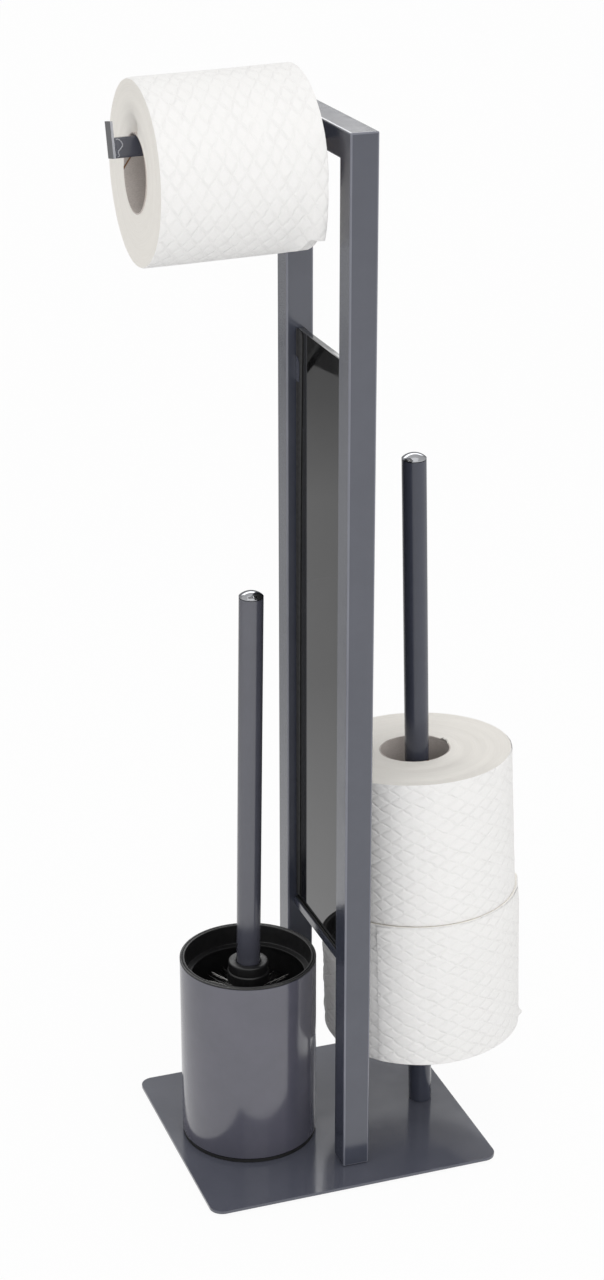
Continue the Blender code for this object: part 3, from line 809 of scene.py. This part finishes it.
def make_collar():
    """The collar that joins the handle to the brush head."""
    low = HEAD_LOW + 4 * TIER + 0.006 + GAP
    step = low + 0.0075
    top = step + 0.007
    seat = top - 0.005
    base, ring = 0.01425, 0.0135
    way, socket = 0.0033, POST_ACROSS / 2 + GAP
    profile = [(way, low), (base, low), (base, step - 0.0006), (base - 0.0004, step)]
    profile += [(ring, step + 0.0002), (ring, top), (socket + 0.0012, top + 0.0002)]
    profile += [(socket, top - 0.0004), (socket, seat), (way, seat)]
    profile = softened(profile, {1: 0.0006, 2: 0.0004, 5: 0.0012, 7: 0.0003})
    name = "brush_collar_plastic"
    add_turned(name, profile, 96, "brush", "black", PLASTIC, "brush_collar", matrix=BRUSH)


def make_bristles():
    """The dense brush head: tufts of thin strands that spread a little towards their tips."""
    rng = random.Random(11)
    low = HEAD_LOW
    tall = 4 * TIER - GAP
    rows, round_count, strands = 26, 22, 7
    core = 0.0092
    middle_z = low + tall / 2
    points, faces, uvs = [], [], []
    for row in range(rows):
        height = low + (row + 0.5) * tall / rows
        share = (height - middle_z) / (tall / 2)
        reach = 0.036 * (1 - 0.14 * share * share)
        for index in range(round_count):
            turn = 2 * math.pi * (index + (row % 2) / 2) / round_count
            for _ in range(strands):
                angle = turn + (rng.random() - 0.5) * 0.09
                z = height + (rng.random() - 0.5) * 0.0022
                tip_angle = turn + (rng.random() - 0.5) * 0.26
                tip_z = z + 0.0019 * share + (rng.random() - 0.5) * 0.0044
                tip = reach * (0.965 + 0.035 * rng.random())
                sway = (rng.random() - 0.5) * 0.0022
                tone = rng.random()
                start = len(points)
                for ring in range(4):
                    t = ring / 3
                    a = angle + (tip_angle - angle) * t
                    h = z + (tip_z - z) * t * t + sway * math.sin(math.pi * t)
                    thick = 0.00027 * (1 - 0.25 * t)
                    out = Vector((math.cos(a), math.sin(a), 0))
                    across = Vector((-math.sin(a), math.cos(a), 0))
                    for side in range(3):
                        b = 2 * math.pi * side / 3
                        p = out * (core + (tip - core) * t) + across * (thick * math.cos(b))
                        points.append((p.x, p.y, h + thick * math.sin(b)))
                faces += joined(4, 3, start)
                faces.append([start + 9, start + 10, start + 11])
                uvs += [(tone, 0.5)] * 39
    head = mesh_from("bristle_head", points, faces, uvs, change=None)
    tiers = ("bristles_1", "bristles_2", "bristles_3", "bristles_4")
    add_object(head.name, head, "brush", "bristle", BRISTLE, stands_for=tiers, matrix=BRUSH, sharp=180)
    backing = [(0.0063, low), (0.0099, low), (0.0099, low + tall), (0.0063, low + tall)]
    add_turned("bristle_backing", backing, 48, "brush", "black", PLASTIC, matrix=BRUSH)


# ---------------- paper rolls


def smooth(t):
    t = np.clip(t, 0, 1)
    return t * t * (3 - 2 * t)


def bell(distance, width):
    return np.exp(-((distance / width) ** 2))


def still(*_):
    """Stands for a slant, bulge or dent that a roll doesn't have."""
    return 0


def roll_surface(radius, count, angle, s, phase):
    """The paper's radius at an angle and a height: a bit out of round, quilted, soft at the ends."""
    u = angle / (2 * np.pi) * count
    v = s / DIAMOND_LONG
    quilt = np.sqrt(np.abs(np.sin(np.pi * (u + v)) * np.sin(np.pi * (u - v))))
    r = radius - 0.00009 + 0.00009 * quilt
    r = r + 0.0003 * np.sin(2 * angle + phase) + 0.0002 * np.sin(3 * angle + 2.1 * phase)
    r = r + 0.00014 * np.sin(5 * angle - phase + 40 * s) - 0.0003
    r = r + 0.00008 * np.sin(23 * angle + 90 * s) * np.sin(61 * s + 4 * angle)
    end = np.minimum(s, ROLL_LONG - s)
    return r - 0.0005 * (1 - smooth(end / 0.001)) ** 2


def make_paper(body, matrix, radius, inner, phase, flap, bulge=still, slant=still, dent=still):
    """One wound roll: its quilted side, its two ends of layers, and the loose end of its sheet.

    In metres, bulge(angle, height) adds to the side's radius, slant(angle, height, radius) shifts
    the layers along the axis, and dent(angle, radius) sinks the low end.
    """
    steps, rows, rings = 300, 84, 16
    count = round(2 * math.pi * radius / DIAMOND_ROUND)
    angle = np.linspace(0, 2 * np.pi, steps + 1)
    s = np.linspace(0, 1, rows + 1)
    s = (s - 0.06 * np.sin(2 * np.pi * s) / (2 * np.pi)) * ROLL_LONG
    grid_a, grid_s = np.meshgrid(angle, s)
    r = roll_surface(radius, count, grid_a, grid_s, phase) + bulge(grid_a, grid_s)
    points, faces, uvs, slots = [], [], [], []

    def add_grid(a, r, z, u, v, slot, flip=False):
        """Adds a sheet of quads from grids of angles, radii, heights and UVs."""
        start, wide = len(points), a.shape[1]
        points.extend(zip(*(grid.ravel().tolist() for grid in (r * np.cos(a), r * np.sin(a), z))))
        uv = list(zip(u.ravel().tolist(), v.ravel().tolist()))
        for row in range(a.shape[0] - 1):
            for column in range(wide - 1):
                first = row * wide + column
                quad = [first, first + 1, first + wide + 1, first + wide]
                if flip:
                    quad.reverse()
                faces.append([start + q for q in quad])
                uvs.extend(uv[q] for q in quad)
                slots.append(slot)

    z = grid_s + slant(grid_a, grid_s, r)
    add_grid(grid_a, r, z, grid_a / (2 * np.pi) * count, grid_s / DIAMOND_LONG, 0)
    grid_k, grid_b = np.meshgrid(np.linspace(0, 1, rings + 1), angle, indexing="ij")
    for end, base in ((0, 0.0), (-1, ROLL_LONG)):
        rr = inner + (r[end][None, :] - inner) * grid_k
        sink = 0.0005 * np.sin(9 * rr / radius + phase)
        sink = sink + 0.0003 * np.sin(31 * rr / radius + 2 * grid_b)
        sink = np.abs(sink) * np.minimum(1, (1 - grid_k) * 6) + 0.0001
        z = base + (sink + dent(grid_b, rr) if end == 0 else -sink)
        z[-1] = grid_s[end]
        z = z + slant(grid_b, np.full_like(z, base), rr)
        add_grid(grid_b, rr, z, grid_b / (2 * np.pi), rr * 1000, 1, flip=(end == 0))
    add_grid(*flap(count), 0)
    name = body + "_tissue"
    mesh = mesh_from(name, points, faces, uvs, slots, change=welded)
    solids = (body + "_paper",)
    looks = (TISSUE, TISSUE_END)
    add_object(name, mesh, body, "paper", *looks, stands_for=solids, matrix=matrix, sharp=60)


def plain_margins(_):
    return 0.0006, ROLL_LONG - 0.0006


def sheet_flap(radius, start, end, lift, phase, thick, margins=plain_margins, slant=still, bulge=still):
    """A loose end of the sheet, lying on the roll from angle start to end(k). lift(t, k) is its height.

    t runs from start to end and k from the sheet's low edge to its high edge. margins(t) gives
    the heights of these two edges.
    """

    def build(count):
        side = np.linspace(0, 1, 111)
        grid_t, grid_k = np.meshgrid(side, side)
        a = start + (end(grid_k) - start) * grid_t
        low, high = margins(grid_t)
        z = low + (high - low) * grid_k
        zc = np.clip(z, 0.0002, ROLL_LONG - 0.0002)
        r = roll_surface(radius, count, a, zc, phase) + thick + lift(grid_t, grid_k) + bulge(a, zc)
        z = z + slant(a, z, r)
        return a, r, z, a / (2 * np.pi) * count, z / DIAMOND_LONG

    return build


def make_core(body, inner, matrix, slant=still, seam_turn=0.0):
    """A card core with its wound seam. The slant shifts it along the axis, as the paper's does."""
    steps, rows = 96, 24
    strip_turns = 1.1
    outer = inner + CORE_WALL
    path = [(outer, cut / rows) for cut in range(rows + 1)]
    path += [(inner, 1 - cut / rows) for cut in range(rows + 1)]
    points, faces, uvs = [], [], []
    for r, k in path:
        z = k * (ROLL_LONG - 2 * GAP) + GAP
        for step in range(steps):
            angle = 2 * math.pi * step / steps
            points.append((r * math.cos(angle), r * math.sin(angle), z + float(slant(angle, z, r))))
    for ring in range(len(path)):
        following = (ring + 1) % len(path)
        for step in range(steps):
            corners = ((ring, step), (ring, step + 1), (following, step + 1), (following, step))
            faces.append([k * steps + turn % steps for k, turn in corners])
            uvs += [(turn / steps + seam_turn, path[k][1] * strip_turns) for k, turn in corners]
    name = body + "_card"
    mesh = mesh_from(name, points, faces, uvs)
    add_object(name, mesh, body, "card", CARD, stands_for=(body + "_core",), matrix=matrix)


def make_rolls():
    """The roll on the arm and the two spare rolls, each with its loose end."""
    top_core, spare_core = 0.046 / 2, 0.0462 / 2
    top_inner, spare_inner = top_core + CORE_WALL - 0.0001, spare_core + CORE_WALL - 0.0001
    top_phase, lower_phase, upper_phase = 0.4, 1.7, 2.9
    down = math.radians(10)
    front = math.radians(-80)

    def top_slant(angle, z, _):
        """The wound layers stand out further at the bottom of the left end."""
        low = (1 + np.cos(angle - down)) / 2
        return (0.001 - 0.0024 * low) * (1 - smooth(z / 0.09))

    def lower_slant(angle, z, r):
        """The lower spare roll's top end is not quite square, so the upper roll leans to the back."""
        return smooth((z - 0.02) / 0.08) * (0.0010 - 0.0507 * r * np.sin(angle))

    make_core("top_roll", top_core, TOP, top_slant)
    make_core("lower_roll", spare_core, LOWER, lower_slant)
    make_core("upper_roll", spare_core, UPPER, seam_turn=0.62)

    def top_dent(angle, radius):
        """The layers just above the arm are pulled in."""
        away = np.mod(angle - down - math.radians(172) + np.pi, 2 * np.pi) - np.pi
        return 0.0042 * bell(away, 0.2) * bell(radius - top_inner, 0.0065)

    def top_end(k):
        """The torn edge, with a ragged step near its right end."""
        ragged = math.radians(0.9) * np.sin(150 * k) + math.radians(0.5) * np.sin(330 * k + 1)
        step = math.radians(20) * smooth((k - 0.87) / 0.05)
        return front + math.radians(62) - step + ragged * bell(k - 0.85, 0.035)

    def top_lift(t, k):
        """The sheet's right corner hangs away from the roll."""
        sunk = np.maximum(1 - smooth(k / 0.03), 1 - smooth(t / 0.05))
        corner = 0.0062 * smooth((k - 0.82) / 0.16) * np.clip((t - 0.7) / 0.3, 0, 1) ** 2
        return 0.0001 - 0.0005 * sunk + corner

    def top_margins(t):
        return 0.0008 - 0.0004 * t, ROLL_LONG - 0.0006 + 0.0008 * smooth((t - 0.7) / 0.3)

    start = front - math.radians(130)
    flap = sheet_flap(TOP_RADIUS, start, top_end, top_lift, top_phase, 0.0002, top_margins, top_slant)
    make_paper("top_roll", TOP, TOP_RADIUS, top_inner, top_phase, flap, slant=top_slant, dent=top_dent)

    def lower_end(k):
        return math.radians(-20) - math.radians(1.5) * np.sin(40 * k)

    def lower_lift(t, k):
        """The edge behind the upright is loose and folded, and the end has a small tail low down."""
        away = smooth((0.12 - t) / 0.12)
        fold = smooth((k - 0.86) / 0.1) * (0.6 + 0.4 * np.sin(90 * k + 9 * t))
        tail = 0.0026 * smooth((t - 0.955) / 0.045) * bell(k - 0.012, 0.028)
        return 0.0002 + 0.0007 * away * (0.55 + 0.45 * np.sin(30 * k)) + 0.0012 * away * fold + tail

    def lower_bulge(angle, z):
        """The side towards the cup is pushed out and ragged, and the front of the rim is drawn in."""
        turn = np.mod(angle, 2 * np.pi)
        ragged = 0.0005 * np.sin(620 * z + 3 * angle) * np.sin(333 * z) + 0.0003 * np.sin(1500 * z)
        beside = bell(turn - math.radians(168), 0.5) * (0.0004 + ragged)
        crumple = bell(turn - math.radians(352), 0.35) * smooth((z - 0.088) / 0.01)
        crumple = crumple * 0.0011 * (0.6 + 0.4 * np.sin(25 * angle))
        away = np.mod(angle - math.radians(-46) + np.pi, 2 * np.pi) - np.pi
        rim = smooth((z - 0.086) / 0.014) * (1 - smooth((np.abs(away) - 0.35) / 0.35))
        return beside + crumple - 0.0014 * rim

    shape = {"bulge": lower_bulge, "slant": lower_slant}
    start = math.radians(-137)
    flap = sheet_flap(LOWER_RADIUS, start, lower_end, lower_lift, lower_phase, 0.00015, **shape)
    make_paper("lower_roll", LOWER, LOWER_RADIUS, spare_inner, lower_phase, flap, **shape)

    def upper_end(_):
        return math.radians(-2)

    def upper_lift(t, k):
        return 0.00012 + 0.00008 * np.sin(40 * k) - 0.0004 * (1 - smooth(t / 0.3))

    start = math.radians(-36)
    flap = sheet_flap(UPPER_RADIUS, start, upper_end, upper_lift, upper_phase, 0.0001)
    make_paper("upper_roll", UPPER, UPPER_RADIUS, spare_inner, upper_phase, flap)


def make_torn_bit():
    """A torn bit of tissue that stands up at the rim of the upper roll's core."""
    points, faces = [], []
    steps = 14
    for step in range(steps + 1):
        t = step / steps
        angle = math.radians(-6 + 26 * t)
        rise = 0.0024 * math.sin(math.pi * t) * (0.7 + 0.3 * math.sin(9 * t)) + 0.0002
        for r, z in ((0.0246, -0.001), (0.0239, rise), (0.0228, rise * 0.75)):
            points.append((r * math.cos(angle), r * math.sin(angle), ROLL_LONG + z))
    for step in range(steps):
        for k in range(2):
            a = 3 * step + k
            faces.append([a, a + 1, a + 4, a + 3])
    mesh = mesh_from("torn_bit", points, faces)
    mesh.uv_layers.new(name="UVMap")
    made = add_object("torn_bit", mesh, "upper_roll", "paper", TISSUE_END, matrix=UPPER)
    modifier = made.modifiers.new("sheet", "SOLIDIFY")
    modifier.thickness = 0.0002
    baked(made)


# ---------------- stage, light and camera


def stage_material(name):
    """A new material, and the graph of its nodes."""
    material = bpy.data.materials.new(name)
    material.use_nodes = True
    return material, Graph(material.node_tree)


def studio_card(name, corners, *stops, strength=1.0):
    """A card that only mirror-like surfaces see. Its tone follows the height, in stops."""
    mesh = mesh_from(name, corners, [list(range(len(corners)))])
    card = placed(name, mesh)
    material, graph = stage_material(name)
    graph.tree.nodes.remove(graph.tree.nodes["Principled BSDF"])
    heights = [z for _, _, z in corners]
    tone = graph.curve(graph.place("Z", min(heights), max(heights)), *stops)
    graph.show(graph.node("Emission", {"Color": tone, "Strength": strength}).outputs[0])
    mesh.materials.append(material)
    for ray in ("camera", "diffuse", "shadow", "transmission"):
        setattr(card, "visible_" + ray, False)


def make_sweep():
    """A plain white floor and backdrop. Mirror-like surfaces see it darker towards the back."""
    bend, bend_start, wide = 0.7, 1.6, 2.6
    rows = [(-2.6, 0.0), (bend_start, 0.0)]
    for step in range(1, 9):
        angle = math.radians(90 * step / 8)
        rows.append((bend_start + bend * math.sin(angle), bend - bend * math.cos(angle)))
    rows.append((2.3, 2.6))
    points, faces = [], []
    for y, z in rows:
        points += [(-wide, y, z - 0.0001), (wide, y, z - 0.0001)]
    for a in range(0, 2 * len(rows) - 2, 2):
        faces.append([a, a + 1, a + 3, a + 2])
    mesh = mesh_from("studio_sweep", points, faces)
    if mesh.polygons[0].normal.z < 0:
        mesh.flip_normals()
    mesh.shade_smooth()
    sweep = placed("studio_sweep", mesh)
    material, graph = stage_material("studio_white")
    shader = graph.tree.nodes["Principled BSDF"]
    shader.inputs["Base Color"].default_value = (0.9, 0.9, 0.9, 1)
    shader.inputs["Roughness"].default_value = 0.9
    shader.inputs["Specular IOR Level"].default_value = 0.1
    white = graph.node("Emission", {"Strength": 1.0}).outputs[0]
    stops = ((0, 1.0), (0.3, 0.95), (0.43, 0.8), (0.52, 0.64), (0.58, 0.52), (1, 0.52))
    tone = graph.curve(graph.place("Y", -1.0, 2.0), *stops)
    mirrored = graph.node("Emission", {"Color": tone, "Strength": 1.25}).outputs[0]
    share = graph.math("MULTIPLY", graph.rays("Is Camera Ray", "Is Transmission Ray"), 0.94)
    seen = graph.blend(share, shader.outputs[0], white)
    share = graph.math("MULTIPLY", graph.rays("Is Glossy Ray"), 0.85)
    front = graph.blend(share, seen, mirrored)
    # The back is clear, so that the backdrop hides nothing in views from behind
    behind = graph.node("NewGeometry").outputs["Backfacing"]
    graph.show(graph.blend(behind, front, graph.node("BsdfTransparent").outputs[0]))
    mesh.materials.append(material)


def make_cards():
    """The cards that the glass, the chrome and the enamel mirror."""
    # Corners (x, z) of upright cards behind the stand, which the glass mirrors
    zone = [(-0.3361, 0.2232), (-0.3383, 0.2257), (-0.3499, 0.2391), (-0.3805, 0.2225)]
    zone += [(-0.3803, 0.2684), (-0.3581, 0.2886), (-0.3361, 0.2906)]
    studio_card("dark_zone_card", [(x, 1.0, z) for x, z in zone], (0, 0.08), (1, 0.08))
    stripe = [(-0.3344, 0.2248), (-0.3371, 0.2283), (-0.3479, 0.2401), (-0.3608, 0.2566)]
    stripe += [(-0.3585, 0.2664), (-0.3377, 0.2384)]
    studio_card("dark_stripe_card", [(x, 0.995, z) for x, z in stripe], (0, 0.0), (1, 0.02))
    glint = [(-0.3348, 0.2385), (-0.3348, 0.2449), (-0.3523, 0.2694), (-0.3567, 0.2679)]
    studio_card("pale_stripe_card", [(x, 0.99, z) for x, z in glint], (0, 0.1), (1, 0.16))
    fade = [(-0.3345, 0.0), (-0.30, 0.0), (-0.30, 0.6), (-0.3345, 0.6)]
    stops = ((0, 0.75), (0.16, 0.8), (0.4, 0.62), (0.55, 0.5), (0.7, 0.6), (1, 0.8))
    studio_card("grey_side_card", [(x, 1.002, z) for x, z in fade], *stops)
    field = [(-0.395, 0.0), (-0.3345, 0.0), (-0.3345, 0.25), (-0.395, 0.25)]
    stops = ((0, 0.66), (0.36, 0.66), (0.8, 0.42), (1, 0.36))
    studio_card("grey_field_card", [(x, 1.003, z) for x, z in field], *stops)
    # Two broad cards for the round metal
    window = [(-0.5, 1.5, 1.1), (1.6, 1.5, 1.1), (1.6, 1.5, 1.9), (-0.5, 1.5, 1.9)]
    studio_card("window_card", window, (0, 0.3), (0.25, 1.0), (1, 1.0), strength=4.6)
    wall = [(-0.2, 1.45, 0.25), (1.6, 1.45, 0.25), (1.6, 1.45, 1.05), (-0.2, 1.45, 1.05)]
    studio_card("wall_card", wall, (0, 0.9), (0.3, 0.75), (0.8, 0.75), (1, 0.8))


def make_world():
    """A white surrounding, which lights the stand a little less from the left."""
    world = bpy.data.worlds.new("studio")
    bpy.context.scene.world = world
    world.use_nodes = True
    graph = Graph(world.node_tree)
    ground = graph.tree.nodes["Background"]
    toward = graph.split(graph.node("TexCoord").outputs["Generated"])["X"]
    tone = graph.curve(graph.ramp(toward, -1.0, 0.1), (0, 0.82), (1, 1.0))
    graph.fill(ground.inputs["Color"], tone)
    graph.fill(ground.inputs["Strength"], 0.82)
    bright = graph.node("Background", {"Color": (1, 1, 1, 1), "Strength": 1.0}).outputs[0]
    seen = graph.rays("Is Camera Ray", "Is Glossy Ray", "Is Transmission Ray")
    graph.show(graph.blend(seen, ground.outputs[0], bright))


def aimed(name, data, at, way):
    """Puts a lamp or a camera in the scene, looking along a direction."""
    made = placed(name, data)
    made.location = at
    made.rotation_mode = "QUATERNION"
    made.rotation_quaternion = way.to_track_quat("-Z", "Y")
    return made


def make_lamps():
    """Two soft square lamps, each aimed from one point at another."""
    across = 1.6
    lamps = (
        ("key", (-0.3, -2.3, 1.25), (0, 0, 0.35), 11.5),
        ("top", (-0.1, -0.3, 2.3), (0, 0, 0.3), 5),
    )
    for name, at, to, watts in lamps:
        lamp = bpy.data.lights.new(name, "AREA")
        lamp.shape = "SQUARE"
        lamp.size = across
        lamp.energy = watts
        aimed(name, lamp, at, Vector(to) - Vector(at))


def make_camera():
    """The photograph's view of the stand."""
    data = bpy.data.cameras.new("photo_view")
    data.sensor_width = 36
    data.lens = 73.34
    data.clip_start = 0.05
    data.clip_end = 50
    yaw, pitch = 0.34134, 0.38631
    flat = math.cos(pitch)
    way = Vector((math.sin(yaw) * flat, math.cos(yaw) * flat, -math.sin(pitch)))
    camera = aimed("photo_view", data, (-0.5295, -1.46518, 0.99615), way)
    bpy.context.scene.camera = camera


# ---------------- the whole


for name in nodes:
    wear(name, STEEL if name.endswith(("_plug", "_screw", "_stud")) else PAINT)
wear("base_plate", PLATE_PAINT)
wear("base_mat", FOAM)
wear("glass_gasket", RUBBER)
wear("cup_foot_ring", FOOT)
wear("brush_core", PLASTIC)
wear("arm_end_plate", END_PAINT)
# The end plate's face towards the front wears the pale enamel, a painted highlight.
nodes["arm_end_plate"].data.materials.append(HIGHLIGHT_PAINT)
for face in nodes["arm_end_plate"].data.polygons:
    if face.normal.y < -0.9:
        face.material_index = 1
soften(nodes["base_plate"], 0.0004)
soften(nodes["glass_channel"], 0.0002, angle=60)
soften(nodes["arm_end_plate"], 0.00035)
for end in ("front", "rear"):
    for side in ("left", "right"):
        soften(nodes[f"glass_clip_{end}_{side}"], 0.00025, angle=30)

make_frame()
make_glass_sheet()
# Black strips at the glass: painted reflection and shade.
make_glass_shade_strips()
make_welds()
make_tube("spare_post_tube", POST, 0.0005, 0.474, "stand", "spare_post", POST_PAINT)
make_cap("spare_post_dome", POST, 0.474, "stand", "spare_post_cap")
make_cup()
make_collar()
make_tube("brush_handle_tube", BRUSH, 0.1211, 0.387, "brush", "brush_handle", HANDLE_PAINT)
make_cap("brush_handle_dome", BRUSH, 0.387, "brush", "brush_handle_cap")
make_bristles()
make_rolls()
make_torn_bit()
make_sweep()
make_cards()
make_world()
make_lamps()
make_camera()

scene = bpy.context.scene
scene.view_settings.view_transform = "Standard"
